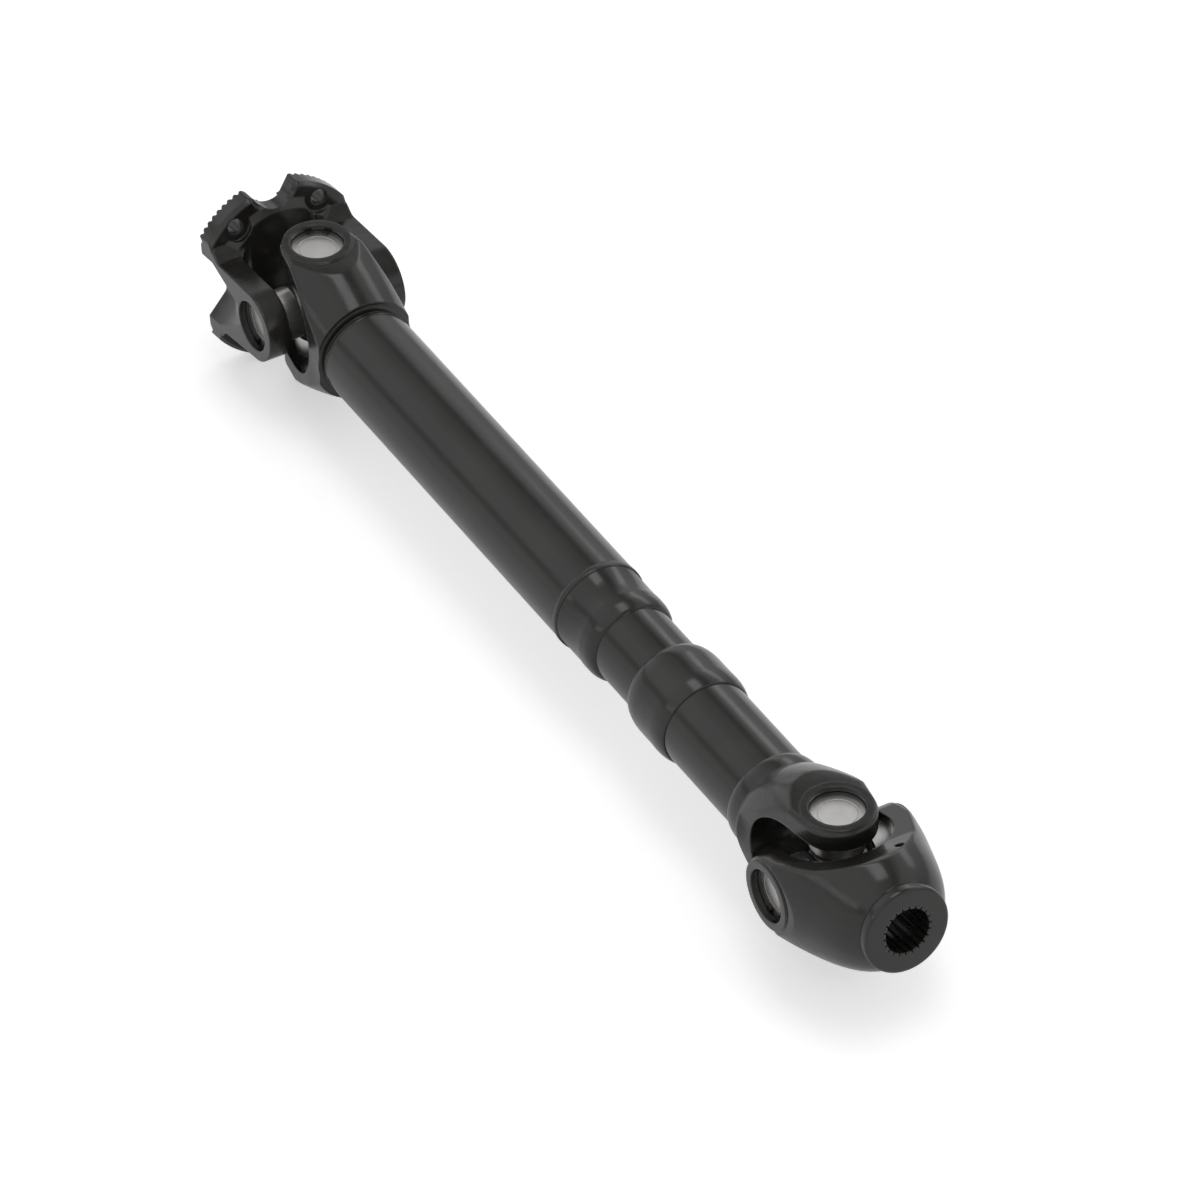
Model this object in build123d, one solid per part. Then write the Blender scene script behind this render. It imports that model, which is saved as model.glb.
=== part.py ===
"""Cardan shaft with length compensation, in millimetres.

The shaft runs along +X: a cross-toothed flange yoke, a universal joint, the main
tube, a splined muff, a splined slip yoke under a guard tube, a second universal
joint and an end yoke with a splined hub.  Both joints stand bent by the same
angle, so the flange and the splined hub point along parallel lines.

Every piece is first made round joint 1, whose centre is (0, 0, 0), and moved at
the end so that the centre of the flange's tooth tips is the origin.  +Z is up
along the pins that the tube yoke and the slip yoke hold; the pins of the flange
yoke and the end yoke lie along Y.
"""
from build123d import *
import os
from math import acos, atan2, cos, hypot, pi, radians, sin, sqrt, tan

# ---- layout along the shaft ------------------------------------------------
joint_distance = 774.0        # between the two joint centres
working_angle = 7.5           # bend of each joint, flange end down, splined end up
tube_diameter = 76.2
tube_wall = 3.0
tube_start = 79.6             # from joint 1 to the tube's end
tube_end = 428.0
running_fit = 0.02            # radial clearance of pieces that turn on each other
seat_fit = 0.01               # radial clearance of pieces pressed or seated together

# ---- universal joint: cross, cups, rollers, seals, circlips -----------------
cup_diameter = 42.0
cross_length = 104.5          # over the outer faces of two opposite cups
cup_length = 27.0
cup_floor = 4.5
cup_chamfer = 0.8
cup_ring_radius = 14.6        # turned ring line on the cup's face
cup_ring_width = 0.7
cup_ring_depth = 0.45
trunnion_diameter = 25.0
roller_diameter = 5.0
roller_length = 17.0
roller_count = 18
roller_end_play = 0.3
seal_gap = 0.25
seal_radius = 19.4
hub_radius = 17.5             # forged arms of the cross, next to the seals
hub_reach = 20.0
hub_ball = 23.5
circlip_thickness = 2.0
circlip_depth = 1.1           # how far the ring sits in its groove
circlip_width = 1.8
circlip_gap = 24.0            # degrees between the two ends
circlip_lug = 11.0            # degrees that each lug spans
circlip_lug_reach = 2.6
circlip_hole = 1.2            # pierced in each lug for the pliers
groove_play = 0.15
nipple_shank_diameter = 5.0
nipple_depth = 5.0
nipple_hexagon = 7.0          # across flats
nipple_hexagon_height = 3.0
nipple_neck_diameter = 4.0
nipple_head_diameter = 5.4
nipple_height = 6.5           # from the cross to the middle of the head

# ---- forks -------------------------------------------------------------------
weld_fork_face = 59.2         # ear faces of the tube yoke and the slip yoke
open_fork_face = 60.5         # ear faces of the flange yoke and the end yoke
eye_radius = 29.5
boss_radius = 27.5
boss_height = 1.2             # of the machined boss over the forged ear
fork_gap = 41.0               # from the centre line to an ear's inner face
ear_fillet = 4.0              # round of the forged edges
fork_bend_radius = 14.0       # where a fork's side turns towards its hub

tube_fork_depth = 52.0        # bottom of the fork's window
tube_fork_sides = [(48.0, 38.0), (72.0, 40.0)]      # (reach, half width) of the plan
tube_fork_shell = [(-34.0, 74.0, 74.0), (-10.0, 72.0, 67.0), (8.0, 68.8, 60.0), (26.0, 64.1, 54.5),
                   (44.0, 57.8, 50.0), (59.0, 51.1, 46.5), (72.5, 44.0, 43.5)]
# a shell's stations are (reach, half size along the pins, half size across)
tube_ring_length = 3.8        # turned ring beside the tube
tube_groove_length = 3.2
tube_groove_depth = 1.9
tube_spigot = 15.0

slip_fork_depth = 59.0
slip_fork_sides = [(50.0, 37.6), (76.0, 39.4)]
slip_fork_shell = [(-34.0, 74.0, 74.0), (-10.0, 72.2, 67.0), (8.0, 69.2, 60.0), (26.0, 64.7, 54.5),
                   (44.0, 58.0, 49.5), (60.0, 50.3, 45.5), (73.0, 42.5, 42.0)]
slip_hub_radius = 39.7
slip_hub_start = 76.0
slip_hub_length = 5.0
slip_hub_fade = 12.0          # rounded shoulder down to the guard tube
guard_spigot = 14.0

end_fork_depth = 45.0
end_fork_sides = [(40.0, 38.0), (64.0, 46.5), (90.0, 52.0)]
end_fork_shell = [(-34.0, 72.0, 72.0), (-10.0, 69.9, 68.0), (6.0, 67.3, 64.0), (20.0, 64.2, 61.0),
                  (34.0, 60.3, 58.5), (47.0, 56.2, 55.5), (62.0, 51.2, 51.0), (74.0, 45.8, 45.6),
                  (82.0, 40.3, 40.2), (87.5, 34.8, 34.8)]
end_length = 96.7             # from joint 2 to the hub's end face
end_lip_radius = 35.2
end_lip_length = 9.0
end_lip_round = 2.4
end_neck_radius = 34.2
end_neck_start = 72.0         # where the hub's round neck stands clear of the forging
side_hole_diameter = 7.0      # drilled in the upper rim of the fork
side_hole_depth = 9.0
side_hole_place = (57.5, -20.5)

# ---- splined hub of the end yoke ---------------------------------------------
hub_spline_count = 22
hub_spline_bore = 36.6
hub_spline_depth = 2.35
hub_spline_width = 1.25

# ---- flange yoke ---------------------------------------------------------------
flange_diameter = 150.0
flange_offset = 77.6          # from joint 1 to the tooth tips
flange_thickness = 17.5
flange_back_chamfer = 3.0
bolt_edge = 10.0              # from a bolt hole's centre to the rim
bolt_angle = 35.0             # of each bolt hole from the Z axis
bolt_hole_diameter = 13.0
bolt_seat_diameter = 26.0
notch_radius = 18.5           # hollow between the upper two lobes, and the lower two
notch_rise = 1.0              # of the hollow's centre outside the rim
notch_round = 5.0
side_notch_floor = 43.0       # cut beside each arm
side_notch_half = 11.0
side_notch_round = 6.0
scoop_slope = 0.5             # the side notches run out along the arms at this slope
arm_root_half = 31.5
arm_flare = 9.0               # widening of an arm where it meets the flange
swelling_edge = 13.0          # from the rim to the foot of the forged swelling behind
swelling_slope = 9.5          # from its foot inwards to its top
swelling_height = 5.5
flange_window = 56.0
flange_window_round = 15.0
tooth_pitch = 5.8
tooth_depth = 2.6
tooth_angle = 70.0
tooth_root_flat = 0.5
tooth_count = 10
face_recess_radius = 42.0
face_recess_depth = 4.5
face_slot_width = 17.0        # milled across between the upper lobes and the lower lobes

# ---- muff, slip shaft, guard tube, seal cap ------------------------------------
weld_bead_height = 0.4
weld_bead_length = 8.0
collar_radius = 37.15
collar_start = 437.0
collar_end = 463.0
collar_bead = 0.5
collar_bead_length = 9.0
muff_radius = 33.0
muff_start = 484.0
muff_end = 618.0
muff_tail = 24.0              # part of the muff inside the main tube
plug_thickness = 4.0
plug_radius = 27.0
spline_start = 440.0
spline_count = 16
spline_major = 23.5
spline_minor = 20.4
spline_tooth_share = 0.46
spline_flank_play = 0.08
spline_root_play = 0.25
shaft_start = 462.0
shaft_neck_radius = 20.0
guard_radius = 36.25
guard_wall = 2.4
guard_start = 560.0
cap_start = 534.5
cap_end = 590.0
cap_radius = 39.6
cap_lip = 0.3                 # how far the cap's rear lip stands proud
cap_front_gap = 0.5           # between the cap's nose and the muff
wiper_start = 545.0
wiper_length = 8.0
wiper_outer = 36.6

# ---- sizes that follow ---------------------------------------------------------
tube_radius = tube_diameter / 2
tube_bore = tube_radius - tube_wall
cup_radius = cup_diameter / 2
cup_face = cross_length / 2
cup_mouth = cup_face - cup_length
cup_bore = trunnion_diameter / 2 + roller_diameter + 2 * running_fit
trunnion_end = cup_face - cup_floor - running_fit
roller_pitch = trunnion_diameter / 2 + roller_diameter / 2 + running_fit
roller_end = cup_face - cup_floor - roller_end_play
fork_bore = cup_radius + seat_fit
groove_radius = cup_radius + circlip_depth
bolt_circle = flange_diameter - 2 * bolt_edge
notch_centre = flange_diameter / 2 + notch_rise
swelling_radius = flange_diameter / 2 - swelling_edge
guard_end = joint_distance - slip_hub_start - slip_hub_length - slip_hub_fade


def turned(points):
    """A solid turned about the X axis from (x, radius) points."""
    outline = Polyline(*[(x, 0, r) for x, r in points], close=True)
    return revolve(make_face(outline), Axis.X)


def rod(radius, start, end):
    """A round bar about the X axis."""
    return Pos(start, 0, 0) * Rot(0, 90, 0) * Cylinder(
        radius, end - start, align=(Align.CENTER, Align.CENTER, Align.MIN))


def pin(radius, start, end):
    """A round bar along Z, from one height to another."""
    return Pos(0, 0, start) * Cylinder(
        radius, end - start, align=(Align.CENTER, Align.CENTER, Align.MIN))


def both_ends(shape):
    """A shape on +Z and its twin on -Z, turned about the X axis."""
    return shape + Rot(180, 0, 0) * shape


# ---- universal joint -------------------------------------------------------------
def make_cross():
    """Forged cross: four ground trunnions on short arms that meet in a ball."""
    arm = pin(hub_radius, 0, hub_reach) + pin(trunnion_diameter / 2, 0, trunnion_end)
    arm = chamfer(arm.edges().sort_by(Axis.Z)[-1], 1.0)
    pair = both_ends(arm)
    ball = Sphere(hub_ball) & Box(2 * hub_radius, 2 * hub_reach, 2 * hub_reach)
    nipple_seat = nipple_place() * pin(nipple_shank_diameter / 2 + seat_fit, -nipple_depth - seat_fit, 1)
    return pair + Rot(90, 0, 0) * pair + ball - nipple_seat


def nipple_place():
    """The nipple stands at the middle of the cross, on its face towards -X."""
    return Rot(0, -90, 0) * Pos(0, 0, hub_radius)


def make_nipple():
    """Grease nipple: screwed shank, hexagon, neck and ball-shaped head."""
    shank = pin(nipple_shank_diameter / 2, -nipple_depth, 1)
    hexagon = Pos(0, 0, seat_fit) * extrude(RegularPolygon(nipple_hexagon / sqrt(3), 6), nipple_hexagon_height)
    neck = pin(nipple_neck_diameter / 2, 1, nipple_height)
    head = Pos(0, 0, nipple_height) * Sphere(nipple_head_diameter / 2)
    return nipple_place() * (shank + hexagon + neck + head)


def make_cup():
    """Drawn bearing cup on the +Z trunnion, closed at its outer face."""
    shell = pin(cup_radius, cup_mouth, cup_face)
    shell = chamfer(shell.edges().sort_by(Axis.Z)[-1], cup_chamfer)
    shell -= pin(cup_bore, cup_mouth, cup_face - cup_floor)
    ring = pin(cup_ring_radius + cup_ring_width, cup_face - cup_ring_depth, cup_face)
    ring -= pin(cup_ring_radius, cup_face - cup_ring_depth, cup_face)
    return shell - ring


def make_rollers():
    """Full row of rollers round the +Z trunnion, as separate solids."""
    roller = pin(roller_diameter / 2, roller_end - roller_length, roller_end)
    step = 360 / roller_count
    row = [Rot(0, 0, i * step) * Pos(roller_pitch, 0, 0) * roller for i in range(roller_count)]
    return Compound(children=row)


def make_seal():
    """Rubber ring between the +Z cup's mouth and the cross."""
    ring = pin(seal_radius, hub_reach + seal_gap, cup_mouth - seal_gap)
    return ring - pin(trunnion_diameter / 2 + seat_fit, 0, cup_mouth)


def make_circlip():
    """Spring ring that holds the +Z cup in its ear, with two pierced lugs."""
    bottom = cup_face + seat_fit
    top = bottom + circlip_thickness
    outer = groove_radius - seat_fit
    inner = outer - circlip_width
    ring = pin(outer, bottom, top) - pin(inner, bottom, top)
    half = radians(circlip_gap / 2)
    far = 2 * outer
    wedge = Polygon((0, 0), (far * cos(half), -far * sin(half)), (far * cos(half), far * sin(half)),
                    align=None)
    ring -= Pos(0, 0, bottom) * extrude(wedge, circlip_thickness)
    for side in (-1, 1):
        middle = side * (circlip_gap + circlip_lug) / 2
        length = radians(circlip_lug) * outer
        lug = Box(circlip_lug_reach + 1, length, circlip_thickness,
                  align=(Align.MAX, Align.CENTER, Align.MIN))
        lug -= Pos(-(circlip_lug_reach + 1) / 2, 0, 0) * Cylinder(circlip_hole / 2, 3 * circlip_thickness)
        ring += Rot(0, 0, middle) * Pos(inner + 1, 0, bottom) * lug
    return ring


# ---- forks -----------------------------------------------------------------------
def fork_plan(sides):
    """Plan of a fork seen along its pins: the eye's circle and two smooth sides."""
    reach, width = sides[0]
    far = hypot(reach, width)
    turn = atan2(width, reach) + acos(eye_radius / far)
    touch = (eye_radius * cos(turn), eye_radius * sin(turn))
    lower = [(x, -y) for x, y in [touch, *sides]]
    upper = [(x, y) for x, y in [*reversed(sides), touch]]
    flanks = Polygon(*lower, *upper, align=None)
    bends = [v for v in flanks.vertices() if touch[0] + 1 < v.X < sides[-1][0] - 1]
    flanks = fillet(bends, fork_bend_radius)
    return Circle(eye_radius) + flanks


def forging(shell):
    """Smooth forging round the shaft, through an ellipse at each station."""
    return loft([Plane((x, 0, 0), x_dir=(0, 1, 0), z_dir=(1, 0, 0)) * Ellipse(across, along)
                 for x, along, across in shell])


def make_fork(face, sides, shell, depth):
    """Forged fork with its pin axis along Z and its hub towards +X.

    It is what the plan of the ears and a smooth forging have in common, with its
    edges rounded, its window cut and a machined boss round each bore.
    """
    top = face - boss_height
    body = extrude(fork_plan(sides), top, both=True) & forging(shell)
    end = min(sides[-1][0], shell[-1][0])
    # the rims of the ears and the ridges of the forging, without its seams
    forged = [e for e in body.edges() if e.center().X < end - 1
              and (abs(e.center().Z) > 1 or e.bounding_box().size.Z > 1) and e.bounding_box().size.X > 0.1]
    body = fillet(forged, ear_fillet)
    body += both_ends(pin(boss_radius, top - 1, face))
    return body - fork_window(depth, fork_gap) - ear_bores(face)


def fork_window(depth, gap):
    """Opening between two ears, round at its bottom, cut through along Y."""
    straight = depth - gap
    slot = Pos(straight, 0, 0) * Rectangle(depth + eye_radius, 2 * gap, align=(Align.MAX, Align.CENTER))
    opening = slot + Pos(straight, 0, 0) * Circle(gap)
    return extrude(Plane.XZ * opening, 2 * tube_radius, both=True)


def ear_bores(face):
    """Bores for two opposite cups, with the grooves for their circlips."""
    low = cup_face - groove_play
    high = cup_face + circlip_thickness + 2 * seat_fit + groove_play
    cut = pin(fork_bore, 0, face + 5) + pin(groove_radius, low, high)
    return both_ends(cut)


def make_tube_yoke():
    """Fork with a turned ring and a spigot that the main tube is welded to."""
    fork = make_fork(weld_fork_face, tube_fork_sides, tube_fork_shell, tube_fork_depth)
    ring = tube_start - tube_ring_length
    groove = ring - tube_groove_length
    floor = tube_radius - tube_groove_depth
    hub = turned([(tube_fork_depth, 0), (tube_fork_depth, tube_radius), (groove, tube_radius + 3),
                  (groove + 1, floor), (ring, floor), (ring, tube_radius - 0.6), (ring + 0.6, tube_radius),
                  (tube_start - 0.8, tube_radius), (tube_start, tube_radius - 0.8),
                  (tube_start, tube_bore - seat_fit), (tube_start + tube_spigot, tube_bore - seat_fit),
                  (tube_start + tube_spigot, 0)])
    hub -= fork_window(tube_fork_depth, fork_gap)
    trim = rod(2 * tube_radius, groove + 1, ring) - rod(floor, groove + 1, ring)
    return fork - trim + hub


def make_slip_yoke():
    """Fork, hub, spigot for the guard tube and the long splined shaft, in one."""
    fork = make_fork(weld_fork_face, slip_fork_sides, slip_fork_shell, slip_fork_depth)
    start = slip_hub_start
    edge = start + slip_hub_length
    fade = slip_hub_fade
    drop = slip_hub_radius - guard_radius
    curve = [(edge + fade * sin(a), slip_hub_radius - drop * (1 - cos(a)))
             for a in (radians(18 * i) for i in range(1, 6))]
    foot = joint_distance - guard_end
    spigot = guard_radius - guard_wall - seat_fit
    hub = turned([(slip_fork_depth, 0), (slip_fork_depth, slip_hub_radius - 3),
                  (slip_fork_shell[-1][0] - 1, slip_hub_radius + 2.2), (start, slip_hub_radius),
                  (edge, slip_hub_radius), *curve, (foot, spigot), (foot + guard_spigot, spigot),
                  (foot + guard_spigot, 0)])
    hub -= fork_window(slip_fork_depth, fork_gap)
    neck_end = joint_distance - muff_end - 20
    neck = rod(shaft_neck_radius, foot, neck_end + 1)
    splines = Pos(neck_end, 0, 0) * spline_bar(spline_major, spline_minor, 0.0,
                                               joint_distance - shaft_start - neck_end)
    return Pos(joint_distance, 0, 0) * Rot(0, 0, 180) * (fork + hub + neck + splines)


def spline_bar(major, minor, play, length):
    """Straight-sided splined bar along X; play widens it into the muff's cutter."""
    step = 360 / spline_count
    half_tooth = pi * spline_major / spline_count * spline_tooth_share + play
    section = Circle(minor)
    tooth = Rectangle(major - minor / 2, 2 * half_tooth, align=(Align.MIN, Align.CENTER))
    for i in range(spline_count):
        section += Rot(0, 0, i * step) * Pos(minor / 2, 0, 0) * tooth
    section = section & Circle(major)
    return Rot(0, 90, 0) * extrude(section, length)


def hub_spline(length):
    """Cutter for the end yoke's splined bore: a bore with narrow round-ended grooves."""
    bore = hub_spline_bore / 2
    tip = bore + hub_spline_depth - hub_spline_width / 2
    section = Circle(bore)
    groove = Pos(tip / 2, 0, 0) * Rectangle(tip, hub_spline_width) + Pos(tip, 0, 0) * Circle(hub_spline_width / 2)
    for i in range(hub_spline_count):
        section += Rot(0, 0, i * 360 / hub_spline_count) * groove
    return Rot(0, 90, 0) * extrude(section, length)


def make_end_yoke():
    """Fork with a short hub whose bore is splined right through."""
    fork = make_fork(open_fork_face, end_fork_sides, end_fork_shell, end_fork_depth)
    lip_start = end_length - end_lip_length
    hub = turned([(end_fork_depth, 0), (end_fork_depth, end_neck_radius - 9),
                  (end_neck_start, end_neck_radius), (lip_start, end_neck_radius),
                  (lip_start + 1.0, end_lip_radius), (end_length, end_lip_radius), (end_length, 0)])
    hub = fillet(hub.edges().filter_by(GeomType.CIRCLE).sort_by(Axis.X)[-1], end_lip_round)
    hub -= fork_window(end_fork_depth, fork_gap)
    body = fork + hub - Pos(end_fork_depth - 20, 0, 0) * hub_spline(end_length)
    rim = (end_fork_sides[0][1] + end_fork_sides[1][1]) / 2
    hole = Pos(side_hole_place[0], rim, side_hole_place[1]) * Rot(90, 0, 0)
    body -= hole * Cylinder(side_hole_diameter / 2, 2 * side_hole_depth)
    return Pos(joint_distance, 0, 0) * Rot(0, -working_angle, 0) * Rot(90, 0, 0) * body


# ---- flange yoke -----------------------------------------------------------------
def flange_outline():
    """Flange seen along the shaft: a disc with four hollows, which leave four lobes.

    Local x is the flange's Y and local y its Z.
    """
    disc = Circle(flange_diameter / 2) & Rectangle(2 * open_fork_face, flange_diameter)
    for side in (-1, 1):
        disc -= Pos(0, side * notch_centre) * Circle(notch_radius)
    corners = [v for v in disc.vertices() if abs(v.X) < notch_radius + 5]
    disc = fillet(corners, notch_round)
    for side in (-1, 1):
        disc -= side_notch(side)
    return disc


def side_notch(side):
    """Hollow beside an arm: a wide V with a flat, rounded floor, open outwards."""
    flare = flange_diameter / 2 - side_notch_floor + 10
    notch = Polygon((side_notch_floor, -side_notch_half),
                    (side_notch_floor + flare, -side_notch_half - flare),
                    (side_notch_floor + flare, side_notch_half + flare),
                    (side_notch_floor, side_notch_half), align=None)
    notch = fillet(notch.vertices().sort_by(Axis.X)[:2], side_notch_round)
    return Rot(0, 0, 90 - 90 * side) * notch


def side_scoop(side):
    """The side notch through the flange, then along the arm, sloping outwards."""
    notch = side_notch(side)
    slope = extrude(Pos(0, 0, flange_thickness) * notch, flange_offset - flange_thickness,
                    dir=(side * scoop_slope, 0, 1))
    return extrude(notch, flange_thickness) + slope


def back_swelling():
    """Forged swelling behind the flange, sloping down to the rim, over the recess."""
    low = (Align.CENTER, Align.CENTER, Align.MIN)
    start = face_recess_depth + 1
    mound = Pos(0, 0, start) * Cylinder(swelling_radius, flange_thickness - start, align=low)
    top_radius = swelling_radius - swelling_slope
    mound += Pos(0, 0, flange_thickness) * Cone(swelling_radius, top_radius, swelling_height, align=low)
    return mound & extrude(flange_outline(), 2 * flange_thickness)


def flange_teeth():
    """Cutters for the parallel teeth of the four lobes, which run outwards."""
    top_half = tooth_depth * tan(radians(tooth_angle / 2)) + tooth_root_flat / 2
    groove = Polygon((-top_half * 1.2, -tooth_depth * 0.2), (top_half * 1.2, -tooth_depth * 0.2),
                     (tooth_root_flat / 2, tooth_depth), (-tooth_root_flat / 2, tooth_depth), align=None)
    reach = flange_diameter / 2 + tooth_pitch
    cutters = []
    for lobe in (bolt_angle, -bolt_angle, 180 + bolt_angle, 180 - bolt_angle):
        for i in range(tooth_count):
            offset = (i - (tooth_count - 1) / 2) * tooth_pitch
            bar = extrude(Plane.XZ * groove, -reach)
            cutters.append(Rot(0, 0, lobe) * Pos(offset, 0, 0) * bar)
    return cutters


def to_flange(shape):
    """Turns a flange drawing (its Y, its Z, depth) so that depth runs along +X."""
    return Pos(-flange_offset, 0, 0) * Rot(0, 0, 90) * Rot(90, 0, 0) * shape


def make_flange_yoke():
    """Flange with cross teeth, four bolt holes and two arms with the pin bores."""
    plate = extrude(flange_outline(), flange_thickness)
    back = [e for e in plate.edges().filter_by(GeomType.CIRCLE)
            if abs(e.radius - flange_diameter / 2) < 0.01 and e.center().Z > flange_thickness - 0.01]
    plate = chamfer(back, flange_back_chamfer)
    plate -= Cylinder(face_recess_radius, 2 * face_recess_depth)
    plate -= Box(face_slot_width, flange_diameter, 2 * face_recess_depth)
    plate -= flange_teeth()
    yoke = to_flange(plate) + flange_arms()
    hole = Cylinder(bolt_hole_diameter / 2, 4 * flange_thickness)
    hole += pin(bolt_seat_diameter / 2, flange_thickness, 2 * flange_thickness)
    for turn in (90 - bolt_angle, 90 + bolt_angle, 270 - bolt_angle, 270 + bolt_angle):
        yoke -= to_flange(Rot(0, 0, turn) * Pos(bolt_circle / 2, 0, 0) * hole)
    return Rot(0, -working_angle, 0) * yoke


def flange_arms():
    """Two arms from the flange to the ears, with a rounded hollow between them."""
    back = -flange_offset + face_recess_depth + 1
    plate = -flange_offset + flange_thickness
    top = open_fork_face
    outer = Pos((back + eye_radius + 1) / 2, 0) * Rectangle(eye_radius + 1 - back, 2 * top)
    side = Polygon((back, -arm_root_half - arm_flare), (plate, -arm_root_half - arm_flare),
                   (plate + arm_flare, -arm_root_half), (0, -eye_radius), (0, eye_radius),
                   (plate + arm_flare, arm_root_half), (plate, arm_root_half + arm_flare),
                   (back, arm_root_half + arm_flare), align=None)
    side = fillet([v for v in side.vertices() if abs(v.X - plate - arm_flare) < 0.01], arm_flare)
    side += Circle(eye_radius)
    arms = extrude(outer, eye_radius * 2, both=True) & extrude(Plane.XZ * side, top, both=True)
    arms &= rod(flange_diameter / 2 - flange_back_chamfer - 1, back, plate + 2) + \
        rod(flange_diameter, plate + 1, 2 * eye_radius)
    arms += to_flange(back_swelling())
    hollow = Pos(-flange_window, 0, 0) * Rectangle(flange_window + 2 * eye_radius, 2 * fork_gap,
                                                   align=(Align.MIN, Align.CENTER))
    hollow = fillet(hollow.vertices().sort_by(Axis.X)[:2], flange_window_round)
    arms -= extrude(hollow, eye_radius * 3, both=True)
    arms -= [to_flange(side_scoop(1)), to_flange(side_scoop(-1))]
    return arms - Rot(90, 0, 0) * ear_bores(open_fork_face)


# ---- tubes, muff, cap ------------------------------------------------------------
def make_main_tube():
    """Main tube, from the tube yoke's ring to the muff."""
    return rod(tube_radius, tube_start, tube_end) - rod(tube_bore, tube_start, tube_end)


def make_muff():
    """Muff with its weld bead and collar outside and the splined bore inside."""
    weld_top = tube_radius + weld_bead_height
    bead = collar_radius + collar_bead
    bead_middle = collar_end + collar_bead_length / 2
    drop = bead - muff_radius
    run = muff_start - collar_end - collar_bead_length
    shoulder = [(collar_end + collar_bead_length + run * sin(a), bead - drop * (1 - cos(a)))
                for a in (radians(15 * i) for i in range(1, 6))]
    inside = tube_bore - seat_fit
    outer = turned([(tube_end - muff_tail, 0), (tube_end - muff_tail, inside), (tube_end, inside),
                    (tube_end, tube_radius), (tube_end + 2, weld_top),
                    (tube_end + weld_bead_length - 2, weld_top), (collar_start, collar_radius),
                    (collar_end, collar_radius), (bead_middle, bead), *shoulder,
                    (muff_start, muff_radius), (muff_end, muff_radius), (muff_end, 0)])
    bore = rod(spline_major + 3, tube_end - muff_tail - 1, spline_start)
    bore += rod(plug_radius + seat_fit, tube_end - muff_tail - 1, tube_end - muff_tail + plug_thickness)
    splines = Pos(spline_start - 1, 0, 0) * spline_bar(
        spline_major + spline_root_play, spline_minor + spline_root_play, spline_flank_play,
        muff_end - spline_start + 2)
    return outer - bore - splines


def make_plug():
    """Disc that keeps the grease in the muff's inner end."""
    start = tube_end - muff_tail
    return rod(plug_radius, start, start + plug_thickness)


def make_guard_tube():
    """Thin tube round the sliding muff, fixed to the slip yoke."""
    return rod(guard_radius, guard_start, guard_end) - rod(guard_radius - guard_wall, guard_start, guard_end)


def make_seal_cap():
    """Cap on the guard tube's end, with a rounded nose and a lip at the rear."""
    nose = wiper_start + wiper_length - cap_start
    inner = muff_radius + cap_front_gap
    rise = cap_radius - inner
    curve = [(cap_start + nose * (1 - cos(a)), inner + rise * sin(a))
             for a in (radians(15 * i) for i in range(1, 7))]
    lip = cap_radius + cap_lip
    tail = 14.0
    rear = [(cap_end - tail + tail * sin(a), lip - (lip - guard_radius) * (1 - cos(a)))
            for a in (radians(18 * i) for i in range(0, 6))]
    outer = turned([(cap_start, 0), (cap_start, inner), *curve, (cap_end - tail - 8, cap_radius),
                    *rear, (cap_end, 0)])
    wiper_end = wiper_start + wiper_length
    bore = rod(inner, cap_start - 1, cap_end + 1)
    bore += rod(wiper_outer + seat_fit, wiper_start - seat_fit, wiper_end)
    bore += rod(guard_radius + seat_fit, wiper_end, cap_end + 1)
    return outer - bore


def make_wiper():
    """Rubber wiper ring in the seal cap, running on the muff."""
    end = wiper_start + wiper_length
    return rod(wiper_outer, wiper_start, end) - rod(muff_radius + running_fit, wiper_start, end)


# ---- assembly --------------------------------------------------------------------
def joint_pieces(name, centre, weld_turns, open_turns):
    """All the small pieces of one universal joint.

    weld_turns and open_turns are where the circlips' gaps point, in degrees, on
    the pins along Z and on the pins along Y.
    """
    arms = {"top": Rot(0, 0, 0), "bottom": Rot(180, 0, 0), "left": Rot(90, 0, 0), "right": Rot(-90, 0, 0)}
    gaps = {"top": weld_turns, "bottom": -weld_turns, "left": open_turns, "right": open_turns}
    place = Pos(centre, 0, 0)
    pieces = {f"{name}_cross": place * make_cross(), f"{name}_grease_nipple": place * make_nipple()}
    cup, rollers, seal, circlip = make_cup(), make_rollers(), make_seal(), make_circlip()
    for arm, turn in arms.items():
        pieces[f"{name}_{arm}_cup"] = place * turn * cup
        pieces[f"{name}_{arm}_rollers"] = place * turn * rollers
        pieces[f"{name}_{arm}_seal"] = place * turn * seal
        pieces[f"{name}_{arm}_circlip"] = place * turn * Rot(0, 0, gaps[arm]) * circlip
    return pieces


def build():
    """Every node of the shaft, with the flange's centre at the origin."""
    pieces = {
        "flange_yoke": make_flange_yoke(),
        "tube_yoke": make_tube_yoke(),
        "main_tube": make_main_tube(),
        "spline_muff": make_muff(),
        "muff_plug": make_plug(),
        "slip_yoke": make_slip_yoke(),
        "guard_tube": make_guard_tube(),
        "seal_cap": make_seal_cap(),
        "wiper_seal": make_wiper(),
        "end_yoke": make_end_yoke(),
    }
    pieces.update(joint_pieces("joint1", 0, 150, -90))
    pieces.update(joint_pieces("joint2", joint_distance, -35, -90))
    lean = radians(working_angle)
    home = Pos(flange_offset * cos(lean), 0, flange_offset * sin(lean))
    return {node: home * piece for node, piece in pieces.items()}


os.makedirs("parts", exist_ok=True)
for node, piece in build().items():
    export_step(piece, f"parts/{node}.step")
    print(node, round(piece.volume), piece.bounding_box())
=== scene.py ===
# %% [markdown]
# # A cardan shaft with a sliding spline
# The shaft carries torque between two machines that are not in line. It has a
# universal joint at each end and a splined section in the middle that lets its
# length change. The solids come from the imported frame, at their real size. This
# lesson gives them their surfaces, adds the weld and the rubber lips, and sets
# up a plain studio.

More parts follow.
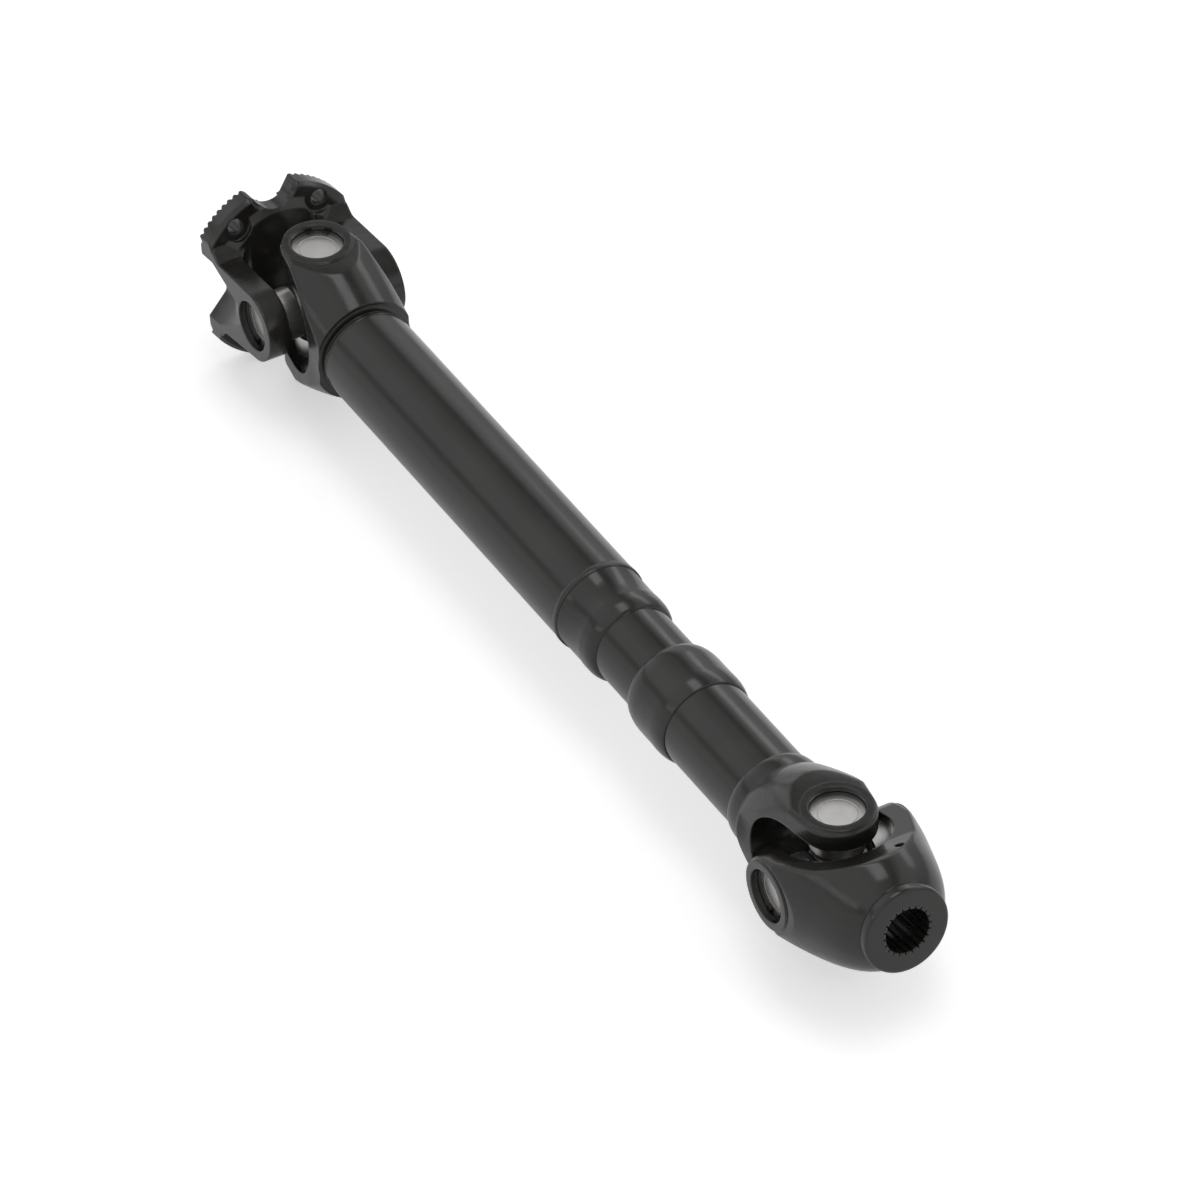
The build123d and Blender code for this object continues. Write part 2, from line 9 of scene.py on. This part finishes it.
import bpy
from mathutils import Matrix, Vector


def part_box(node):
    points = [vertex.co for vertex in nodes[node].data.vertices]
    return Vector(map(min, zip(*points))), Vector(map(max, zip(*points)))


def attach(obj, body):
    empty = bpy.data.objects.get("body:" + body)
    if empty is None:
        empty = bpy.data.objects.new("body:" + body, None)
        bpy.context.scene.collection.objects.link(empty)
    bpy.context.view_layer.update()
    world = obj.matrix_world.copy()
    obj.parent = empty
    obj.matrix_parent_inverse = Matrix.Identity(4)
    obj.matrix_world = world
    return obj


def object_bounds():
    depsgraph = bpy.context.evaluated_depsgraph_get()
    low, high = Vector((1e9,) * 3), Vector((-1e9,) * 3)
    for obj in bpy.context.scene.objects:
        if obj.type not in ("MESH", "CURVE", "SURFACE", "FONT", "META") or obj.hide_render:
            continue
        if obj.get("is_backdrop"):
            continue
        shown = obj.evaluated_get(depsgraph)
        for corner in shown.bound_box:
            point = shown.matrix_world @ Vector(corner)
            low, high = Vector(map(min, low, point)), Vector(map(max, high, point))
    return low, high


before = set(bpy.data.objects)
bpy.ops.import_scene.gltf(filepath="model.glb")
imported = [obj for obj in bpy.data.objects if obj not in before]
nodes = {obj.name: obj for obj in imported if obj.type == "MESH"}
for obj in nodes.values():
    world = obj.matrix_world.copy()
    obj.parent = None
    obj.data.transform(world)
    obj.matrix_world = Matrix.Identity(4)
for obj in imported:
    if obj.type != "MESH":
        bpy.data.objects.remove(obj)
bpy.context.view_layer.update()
print("nodes:", len(nodes))

# %% [markdown]
# ## Tools
# NumPy works out the added surfaces as grids of points. Blender's own modules turn
# them into meshes, and make the materials and the studio.

# %% Modules
import math

import bpy
import numpy as np
from mathutils import Matrix, Vector

print("Blender", bpy.app.version_string)

# %% [markdown]
# ## Smooth shading without touching the solids
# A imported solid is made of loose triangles, so it would show every facet. It could
# be copied and merged, but a small geometry modifier does the same and leaves the
# solid as it is: it merges points that coincide, shades the faces smooth, and keeps
# the edges that are sharper than an angle crisp.

# %% A modifier that shades smooth and keeps sharp edges
crease_angle = math.radians(28)
merge_distance = 2e-6


def smooth_group(angle, distance):
    """Node group: merge by distance, smooth faces, sharp edges above the angle."""
    group = bpy.data.node_groups.new("smooth_by_angle", "GeometryNodeTree")
    group.interface.new_socket("Geometry", in_out="INPUT", socket_type="NodeSocketGeometry")
    group.interface.new_socket("Geometry", in_out="OUTPUT", socket_type="NodeSocketGeometry")
    add = group.nodes.new
    start = add("NodeGroupInput")
    end = add("NodeGroupOutput")
    strip = add("GeometryNodeRemoveAttribute")
    strip.inputs["Name"].default_value = "custom_normal"
    merge = add("GeometryNodeMergeByDistance")
    merge.inputs["Distance"].default_value = distance
    faces = add("GeometryNodeSetShadeSmooth")
    edges = add("GeometryNodeSetShadeSmooth")
    edges.domain = "EDGE"
    edges.inputs["Shade Smooth"].default_value = False
    bend = add("GeometryNodeInputMeshEdgeAngle")
    sharp = add("FunctionNodeCompare")
    sharp.data_type = "FLOAT"
    sharp.operation = "GREATER_THAN"
    sharp.inputs[1].default_value = angle
    link = group.links.new
    link(start.outputs[0], strip.inputs["Geometry"])
    link(strip.outputs["Geometry"], merge.inputs["Geometry"])
    link(merge.outputs["Geometry"], faces.inputs["Geometry"])
    link(faces.outputs["Geometry"], edges.inputs["Geometry"])
    link(bend.outputs["Unsigned Angle"], sharp.inputs[0])
    link(sharp.outputs["Result"], edges.inputs["Selection"])
    link(edges.outputs["Geometry"], end.inputs[0])
    return group


smooth = smooth_group(crease_angle, merge_distance)
for node in nodes.values():
    modifier = node.modifiers.new("smooth", "NODES")
    modifier.node_group = smooth
print("smoothed nodes:", len(nodes))

# %% [markdown]
# ## Materials
# Every finish starts from the same few parts: noise that varies the colour and the
# gloss, and a bump. A bevel in the shader rounds each edge, by about two millimetres
# on a forging and less elsewhere, so that edges catch the light.

# %% A small builder for materials
def new_material(name):
    """An empty node material: its tree, its shader and the object's coordinates."""
    material = bpy.data.materials.new(name)
    material.use_nodes = True
    tree = material.node_tree
    shader = tree.nodes["Principled BSDF"]
    place = tree.nodes.new("ShaderNodeTexCoord")
    return tree, shader, place.outputs["Object"]


def material_named(name):
    """A material that was made before."""
    return bpy.data.materials[name]


def noise(tree, place, scale, detail=4.0, rough=0.55):
    """Noise in the object's own space; scale is in cycles a metre."""
    node = tree.nodes.new("ShaderNodeTexNoise")
    node.inputs["Scale"].default_value = scale
    node.inputs["Detail"].default_value = detail
    node.inputs["Roughness"].default_value = rough
    tree.links.new(place, node.inputs["Vector"])
    return node.outputs["Fac"]


def remap(tree, value, low, high, start=0.3, end=0.7):
    """Value taken from start..end to low..high, clamped."""
    node = tree.nodes.new("ShaderNodeMapRange")
    for key, number in (("From Min", start), ("From Max", end), ("To Min", low), ("To Max", high)):
        node.inputs[key].default_value = number
    tree.links.new(value, node.inputs["Value"])
    return node.outputs["Result"]


def blend_colour(tree, value, dark, light):
    """Colour that runs from dark to light with the value."""
    node = tree.nodes.new("ShaderNodeMix")
    node.data_type = "RGBA"
    node.inputs["A"].default_value = (*dark, 1)
    node.inputs["B"].default_value = (*light, 1)
    tree.links.new(value, node.inputs["Factor"])
    return node.outputs["Result"]


def rounded_bump(tree, shader, height, depth, edge):
    """Bump of the given depth in metres on a normal whose edges are rounded."""
    bevel = tree.nodes.new("ShaderNodeBevel")
    bevel.samples = 6
    bevel.inputs["Radius"].default_value = edge
    bump = tree.nodes.new("ShaderNodeBump")
    bump.inputs["Distance"].default_value = depth
    bump.inputs["Strength"].default_value = 1.0
    tree.links.new(height, bump.inputs["Height"])
    tree.links.new(bevel.outputs["Normal"], bump.inputs["Normal"])
    tree.links.new(bump.outputs["Normal"], shader.inputs["Normal"])


# %% [markdown]
# ### Gloss black paint
# The yokes are forged and the tubes are drawn, and all of them are sprayed with one
# coat of gloss black. Forged skin stays slightly uneven under the paint, while a
# drawn tube is smooth with the orange peel of the spray. One function makes both,
# and only the size and depth of the unevenness and the round of the edges differ.

# %% Paint over forged, turned and drawn steel
dark_coat = (0.0085, 0.0080, 0.0072)
light_coat = (0.0145, 0.0137, 0.0125)
coat_gloss = (0.13, 0.22)     # roughness, from the best patches to the dullest
peel_share = 0.06             # height of the orange peel against the skin's unevenness


def black_paint(name, skin_scale, skin_depth, edge):
    """Gloss black paint: dark base, varying gloss, orange peel over the skin below."""
    tree, shader, place = new_material(name)
    patch = noise(tree, place, 18.0, 5.0)
    tint = blend_colour(tree, remap(tree, patch, 0, 1), dark_coat, light_coat)
    tree.links.new(tint, shader.inputs["Base Color"])
    gloss = remap(tree, noise(tree, place, 60.0, 6.0), *coat_gloss)
    tree.links.new(gloss, shader.inputs["Roughness"])
    skin = noise(tree, place, skin_scale, 3.0)
    peel = noise(tree, place, 1400.0, 2.0)
    both = tree.nodes.new("ShaderNodeMath")
    both.operation = "MULTIPLY_ADD"
    both.inputs[1].default_value = peel_share
    tree.links.new(peel, both.inputs[0])
    tree.links.new(skin, both.inputs[2])
    rounded_bump(tree, shader, both.outputs["Value"], skin_depth, edge)
    shader.inputs["IOR"].default_value = 1.52


black_paint("forged_paint", 110.0, 0.00016, 0.0022)
black_paint("turned_paint", 160.0, 0.00004, 0.0007)
black_paint("tube_paint", 30.0, 0.00006, 0.0005)
print("paints:", [m.name for m in bpy.data.materials if m.name.endswith("paint")])

# %% [markdown]
# ### Turned and ground steel
# A bearing cup is turned on a lathe and left bright, so its face has fine rings
# round its own axis. The rings are a noise on the distance from that axis, which
# a cup on a Z pin measures in X and Y, and one on a Y pin in X and Z.

# %% Bright steel with rings round an axis
ring_scale = 3200.0           # cycles a metre of the turning marks
gloss_spread = 0.14           # roughness between one mark and the next
stain_level = 0.86            # brightness of a stain against clean steel


def turned_steel(name, centre, axis, colour, gloss):
    """Metal whose colour and roughness vary with the distance from an axis."""
    tree, shader, place = new_material(name)
    offset = tree.nodes.new("ShaderNodeMapping")
    offset.inputs["Location"].default_value = [-v for v in centre]
    tree.links.new(place, offset.inputs["Vector"])
    flat = tree.nodes.new("ShaderNodeVectorMath")
    flat.operation = "MULTIPLY"
    flat.inputs[1].default_value = [0.0 if i == axis else 1.0 for i in range(3)]
    tree.links.new(offset.outputs["Vector"], flat.inputs[0])
    length = tree.nodes.new("ShaderNodeVectorMath")
    length.operation = "LENGTH"
    tree.links.new(flat.outputs["Vector"], length.inputs[0])
    rings = tree.nodes.new("ShaderNodeTexNoise")
    rings.noise_dimensions = "1D"
    rings.inputs["Scale"].default_value = ring_scale
    rings.inputs["Detail"].default_value = 3.0
    tree.links.new(length.outputs["Value"], rings.inputs["W"])
    stain = noise(tree, place, 90.0, 5.0)
    dark = [v * stain_level for v in colour]
    tint = blend_colour(tree, remap(tree, stain, 0, 1, 0.25, 0.75), dark, colour)
    tree.links.new(tint, shader.inputs["Base Color"])
    rough = remap(tree, rings.outputs["Fac"], gloss, gloss + gloss_spread)
    tree.links.new(rough, shader.inputs["Roughness"])
    shader.inputs["Metallic"].default_value = 1.0
    rounded_bump(tree, shader, rings.outputs["Fac"], 0.000012, 0.0004)


joint_names = ("joint1", "joint2")
centres = {}
for joint in joint_names:
    low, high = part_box(joint + "_cross")
    centres[joint] = (low + high) / 2
print("joint centres:", {k: [round(v, 4) for v in c] for k, c in centres.items()})

# %% [markdown]
# ### Spring steel, rubber and zinc
# The circlips were sprayed in place with the yokes, so they are black but a little
# rougher. The seals are moulded rubber, which is nearly matt. The grease nipples
# are zinc-plated, with the faint yellow cast and cloudiness of the plating. The
# crosses and rollers are ground, so they are the glossiest metal here. Zinc and
# ground steel are shared by pieces that point several ways, so both take their fine
# marks round the X axis.

# %% The small parts' materials
def dark_skin(name, colour, rough, scale, depth, edge):
    """A dark, uneven surface, from dry rubber to sprayed spring steel."""
    tree, shader, place = new_material(name)
    patch = noise(tree, place, scale, 6.0)
    light = [v * 1.7 for v in colour]
    tree.links.new(blend_colour(tree, remap(tree, patch, 0, 1), colour, light), shader.inputs["Base Color"])
    tree.links.new(remap(tree, patch, rough - 0.06, rough + 0.08), shader.inputs["Roughness"])
    rounded_bump(tree, shader, noise(tree, place, scale * 9, 3.0), depth, edge)


dark_skin("sprayed_spring_steel", (0.012, 0.012, 0.012), 0.30, 150.0, 0.00003, 0.0003)
dark_skin("seal_rubber", (0.010, 0.010, 0.010), 0.62, 220.0, 0.00006, 0.0004)
turned_steel("zinc_plate", (0, 0, 0), 0, (0.56, 0.55, 0.50), 0.30)
turned_steel("ground_steel", (0, 0, 0), 0, (0.60, 0.60, 0.60), 0.10)
print("materials so far:", len(bpy.data.materials))

# %% [markdown]
# ## Give each solid its finish
# The kind of piece is in its name, so one table is enough. The cups get a material
# each, because each has its own axis.

# %% Hand out the materials
cup_colour = (0.70, 0.685, 0.67)
cup_gloss = 0.28


def dress(node, name):
    """The solid's slots all take the one material."""
    mesh = nodes[node].data
    mesh.materials.clear()
    mesh.materials.append(material_named(name))


finishes = {
    "flange_yoke": "forged_paint", "tube_yoke": "forged_paint", "slip_yoke": "forged_paint",
    "end_yoke": "forged_paint", "main_tube": "tube_paint", "guard_tube": "tube_paint",
    "spline_muff": "turned_paint", "seal_cap": "turned_paint", "muff_plug": "zinc_plate",
    "wiper_seal": "seal_rubber",
}
for node in nodes:
    if node.endswith("_cup"):
        joint, arm = node.split("_")[:2]
        axis = 2 if arm in ("top", "bottom") else 1
        turned_steel(node + "_steel", centres[joint], axis, cup_colour, cup_gloss)
        finishes[node] = node + "_steel"
    elif node.endswith("_circlip"):
        finishes[node] = "sprayed_spring_steel"
    elif node.endswith("_seal") and node != "wiper_seal":
        finishes[node] = "seal_rubber"
    elif node.endswith("_rollers") or node.endswith("_cross"):
        finishes[node] = "ground_steel"
    elif node.endswith("_nipple"):
        finishes[node] = "zinc_plate"
for node, name in finishes.items():
    dress(node, name)
print("dressed:", len(finishes), "of", len(nodes))

# %% [markdown]
# ## Surfaces from two parameters
# A weld and a rubber lip are both closed sections carried round an axis. A grid of
# angles and section points gives every vertex at once, and the quads follow from
# the grid's own numbering.

# %% A section carried round an axis
def ring_piece(name, centre, axis, along, radius, material, body):
    """Mesh from two grids: along is the place on the axis and radius the distance.

    Both are arrays of (turns, section points), and the section is closed. A point
    is the centre, plus along times the axis, plus radius times the direction at
    that turn's angle.
    """
    turns, points = radius.shape
    angle = np.linspace(0, 2 * math.pi, turns, endpoint=False)[:, None]
    forward = np.zeros(3)
    forward[axis] = 1.0
    side = np.roll(forward, 1)
    other = np.cross(forward, side)
    spoke = np.cos(angle)[..., None] * side + np.sin(angle)[..., None] * other
    place = np.array(centre) + along[..., None] * forward + radius[..., None] * spoke
    row = np.arange(turns)[:, None]
    column = np.arange(points)[None, :]
    after = (row + 1) % turns
    beside = (column + 1) % points
    quads = np.stack(np.broadcast_arrays(row * points + column, after * points + column,
                                         after * points + beside, row * points + beside), -1)
    mesh = bpy.data.meshes.new(name)
    mesh.from_pydata(place.reshape(-1, 3).tolist(), [], quads.reshape(-1, 4).tolist())
    mesh.polygons.foreach_set("use_smooth", np.ones(len(mesh.polygons), bool))
    mesh.materials.append(material_named(material))
    piece = bpy.data.objects.new(name, mesh)
    bpy.context.scene.collection.objects.link(piece)
    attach(piece, body)
    print(name, "faces", len(mesh.polygons))


# %% [markdown]
# ### The weld between the tube and the muff
# The seam is laid while the shaft turns, so its ripples are arcs that follow each
# other round the tube. A half-round section with a wave that lags towards its edges
# gives them. The seam is only half a millimetre proud.

# %% Weld seam
def weld_seam(name, middle, half_width, base, height, ripples, body):
    """Radius = base + height * half-round section * (1 + wave that lags at the edges)."""
    turns, points = 720, 13
    across = np.linspace(-1, 1, points)[None, :]
    angle = np.linspace(0, 2 * math.pi, turns, endpoint=False)[:, None]
    wave = 0.16 * np.cos(ripples * angle - 2.2 * across ** 2) + 0.05 * np.cos(7 * angle)
    radius = base + height * np.sqrt(1 - across ** 2) * (1 + wave)
    radius = np.where(np.abs(across) > 0.999, base - height, radius)
    along = middle + half_width * across + 0 * angle
    centre = (0.0, centres["joint1"].y, centres["joint1"].z)
    ring_piece(name, centre, 0, along, radius, "forged_paint", body)


tube_low, tube_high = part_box("main_tube")
tube_radius = (tube_high.z - tube_low.z) / 2
seam_offset = 0.004           # from the tube's end to the middle of the seam
seam_half_width = 0.0036
seam_height = 0.00055
ripple_count = 150
weld_seam("muff_weld", tube_high.x + seam_offset, seam_half_width, tube_radius, seam_height,
          ripple_count, "tube")

# %% [markdown]
# ### Rubber lips at the bearing cups
# Each cup is sealed by a moulded ring whose lip bears on the cup's mouth. The lip is
# a round bead carried round the pin, at the plain seal ring's outer edge.

# %% Seal lips
bead_share = 0.34             # the bead's radius against the seal's thickness
bead_sink = 0.3               # how far its middle lies inside the edge, in bead radii


def seal_lip(node, joint, arm):
    """Round bead at the seal's outer edge, halfway along it."""
    axis = 2 if arm in ("top", "bottom") else 1
    low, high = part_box(node)
    middle = ((low + high) / 2)[axis] - centres[joint][axis]
    outer = (high.x - low.x) / 2
    turns, points = 96, 12
    section = np.linspace(0, 2 * math.pi, points, endpoint=False)[None, :]
    bead = (high - low)[axis] * bead_share
    turn = np.zeros((turns, 1))
    radius = outer - bead_sink * bead + bead * np.cos(section) + turn
    along = middle + bead * np.sin(section) + turn
    cross = "cross_1" if joint == "joint1" else "cross_2"
    ring_piece(f"{joint}_{arm}_lip", centres[joint], axis, along, radius, "seal_rubber", cross)


for joint in joint_names:
    for arm in ("top", "bottom", "left", "right"):
        seal_lip(f"{joint}_{arm}_seal", joint, arm)

# %% [markdown]
# ## Studio
# ### Floor
# The floor is white paint, and a share of its brightness is its own, so that it
# reads as white and still keeps the object's shadow. Reflections see little of that
# share, so that the undersides of the shaft stay dark.

# %% Floor
floor_half = 12.0
floor_centre_x = 0.45
floor_gap = 0.0005            # below the lowest point of the shaft
floor_paint = 0.80
floor_glow = (("Is Camera Ray", 0.42), ("Is Transmission Ray", 0.42), ("Is Glossy Ray", 0.10))


def weighted_rays(tree, shares):
    """Sum of the flags of the kinds of ray, each times its share."""
    path = tree.nodes.new("ShaderNodeLightPath")
    total = None
    for ray, share in shares:
        term = tree.nodes.new("ShaderNodeMath")
        term.operation = "MULTIPLY_ADD"
        term.inputs[1].default_value = share
        term.inputs[2].default_value = 0.0
        tree.links.new(path.outputs[ray], term.inputs[0])
        if total is not None:
            tree.links.new(total, term.inputs[2])
        total = term.outputs[0]
    return total


def white_floor():
    """A large plane whose material is part white paint and part its own light."""
    place = (floor_centre_x, 0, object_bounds()[0].z - floor_gap)
    bpy.ops.mesh.primitive_plane_add(size=2 * floor_half, location=place)
    floor = bpy.context.active_object
    floor.name = "studio_floor"
    material = bpy.data.materials.new("studio_white")
    material.use_nodes = True
    tree = material.node_tree
    tree.nodes.clear()
    out = tree.nodes.new("ShaderNodeOutputMaterial")
    matt = tree.nodes.new("ShaderNodeBsdfDiffuse")
    matt.inputs["Color"].default_value = (floor_paint, floor_paint, floor_paint, 1)
    glow = tree.nodes.new("ShaderNodeEmission")
    tree.links.new(weighted_rays(tree, floor_glow), glow.inputs["Strength"])
    both = tree.nodes.new("ShaderNodeAddShader")
    tree.links.new(matt.outputs[0], both.inputs[0])
    tree.links.new(glow.outputs[0], both.inputs[1])
    tree.links.new(both.outputs[0], out.inputs["Surface"])
    floor.data.materials.append(material)
    floor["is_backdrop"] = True
    print("floor at z =", round(place[2], 4))


white_floor()

# %% [markdown]
# ### World
# The world is white to the camera. Reflections see long light strips and the dark
# gaps between them instead, as in a studio with boxes along both sides of the
# shaft, and these draw the streaks along its tubes.

# %% World with light strips along the shaft
room_level = 0.75
strip_levels = [
    (-60, 0.60), (0, 0.42), (15, 0.64), (25, 0.80), (35, 0.93), (52, 0.86), (58, 0.45), (66, 0.25),
    (73, 0.47), (103, 0.80), (112, 0.91), (144, 0.91), (150, 0.50), (158, 0.50), (165, 0.81),
]


def mix_level(tree, share, first, second):
    """first where share is 0 and second where it is 1; each is a number or a socket."""
    mix = tree.nodes.new("ShaderNodeMix")
    tree.links.new(share, mix.inputs["Factor"])
    for key, level in (("A", first), ("B", second)):
        if isinstance(level, float):
            mix.inputs[key].default_value = level
        else:
            tree.links.new(level, mix.inputs[key])
    return mix.outputs["Result"]


def side_strips(tree, levels):
    """Brightness of a reflected direction (x, y, z), from its angle atan2(z, y).

    The levels are (degrees, brightness) pairs. The angle is 0 on the +Y side, 90
    overhead, -90 underneath and 180 on the -Y side, and the ramp is white at -180.
    """
    where = tree.nodes.new("ShaderNodeTexCoord")
    parts = tree.nodes.new("ShaderNodeSeparateXYZ")
    tree.links.new(where.outputs["Generated"], parts.inputs[0])
    angle = tree.nodes.new("ShaderNodeMath")
    angle.operation = "ARCTAN2"
    tree.links.new(parts.outputs["Z"], angle.inputs[0])
    tree.links.new(parts.outputs["Y"], angle.inputs[1])
    turn = remap(tree, angle.outputs[0], 0.0, 1.0, -math.pi, math.pi)
    ramp = tree.nodes.new("ShaderNodeValToRGB")
    tree.links.new(turn, ramp.inputs["Fac"])
    stops = ramp.color_ramp.elements
    stops.remove(stops[-1])
    stops[0].color = (1, 1, 1, 1)
    for degrees, level in levels:
        stop = stops.new(0.5 + degrees / 360)
        stop.color = (level, level, level, 1)
    return ramp.outputs["Color"]


def white_world(ambient):
    """White to the camera and glass, strips to reflections, a plain level to the rest."""
    world = bpy.data.worlds.new("studio")
    bpy.context.scene.world = world
    world.use_nodes = True
    tree = world.node_tree
    back = tree.nodes["Background"]
    back.inputs["Color"].default_value = (1, 1, 1, 1)
    path = tree.nodes.new("ShaderNodeLightPath")
    clear = tree.nodes.new("ShaderNodeMath")
    clear.operation = "MAXIMUM"
    tree.links.new(path.outputs["Is Camera Ray"], clear.inputs[0])
    tree.links.new(path.outputs["Is Transmission Ray"], clear.inputs[1])
    level = mix_level(tree, path.outputs["Is Glossy Ray"], ambient, side_strips(tree, strip_levels))
    level = mix_level(tree, clear.outputs[0], level, 1.0)
    tree.links.new(level, back.inputs["Strength"])


white_world(room_level)
print("levels round the shaft:", len(strip_levels))

# %% [markdown]
# ### Lamps
# Long soft boxes above and beside the shaft throw the soft shadow under it. They
# are weak, because the room is already bright.

# %% Soft boxes
def soft_box(name, place, aim, width, height, power):
    """A rectangular area lamp at a place, turned towards a point."""
    light = bpy.data.lights.new(name, "AREA")
    light.shape = "RECTANGLE"
    light.size, light.size_y = width, height
    light.energy = power
    lamp = bpy.data.objects.new(name, light)
    bpy.context.scene.collection.objects.link(lamp)
    lamp.location = place
    lamp.rotation_euler = (Vector(place) - Vector(aim)).to_track_quat("Z", "Y").to_euler()


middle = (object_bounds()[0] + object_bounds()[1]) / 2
soft_box("overhead", middle + Vector((0, 0.2, 2.2)), middle, 2.4, 0.7, 9.0)
soft_box("left_strip", middle + Vector((0.3, -2.0, 1.1)), middle, 2.6, 0.35, 2.6)
soft_box("back_strip", middle + Vector((-0.6, 1.9, 1.3)), middle, 2.4, 0.5, 4.0)

# %% [markdown]
# ## Camera
# A long lens from far away, above and to the right of the splined end, keeps the
# tube's sides nearly parallel. The camera is placed by its angles, with a slight
# roll, so the numbers can be read and changed.

# %% Camera
camera_place = (4.7688, -2.4293, 4.1601)


def studio_camera(place, azimuth, elevation, roll, lens):
    """Camera at a place that looks down along azimuth and elevation, rolled a little."""
    a, e, r = (math.radians(v) for v in (azimuth, elevation, roll))
    back = Vector((math.sin(a) * math.cos(e), -math.cos(a) * math.cos(e), math.sin(e)))
    level = Vector((math.cos(a), math.sin(a), 0))
    rise = back.cross(level)
    right = math.cos(r) * level + math.sin(r) * rise
    up = back.cross(right)
    data = bpy.data.cameras.new("studio_camera")
    data.lens = lens
    data.sensor_width = 36.0
    data.clip_start, data.clip_end = 0.1, 60.0
    camera = bpy.data.objects.new("studio_camera", data)
    bpy.context.scene.collection.objects.link(camera)
    camera.matrix_world = Matrix.Translation(place) @ Matrix((right, up, back)).transposed().to_4x4()
    bpy.context.scene.camera = camera
    return camera


camera = studio_camera(camera_place, azimuth=60.29, elevation=40.2, roll=-0.985, lens=257.1)
bpy.context.scene.view_settings.view_transform = "Standard"
print("camera distance:", round((camera.matrix_world.translation - middle).length, 3), "m")
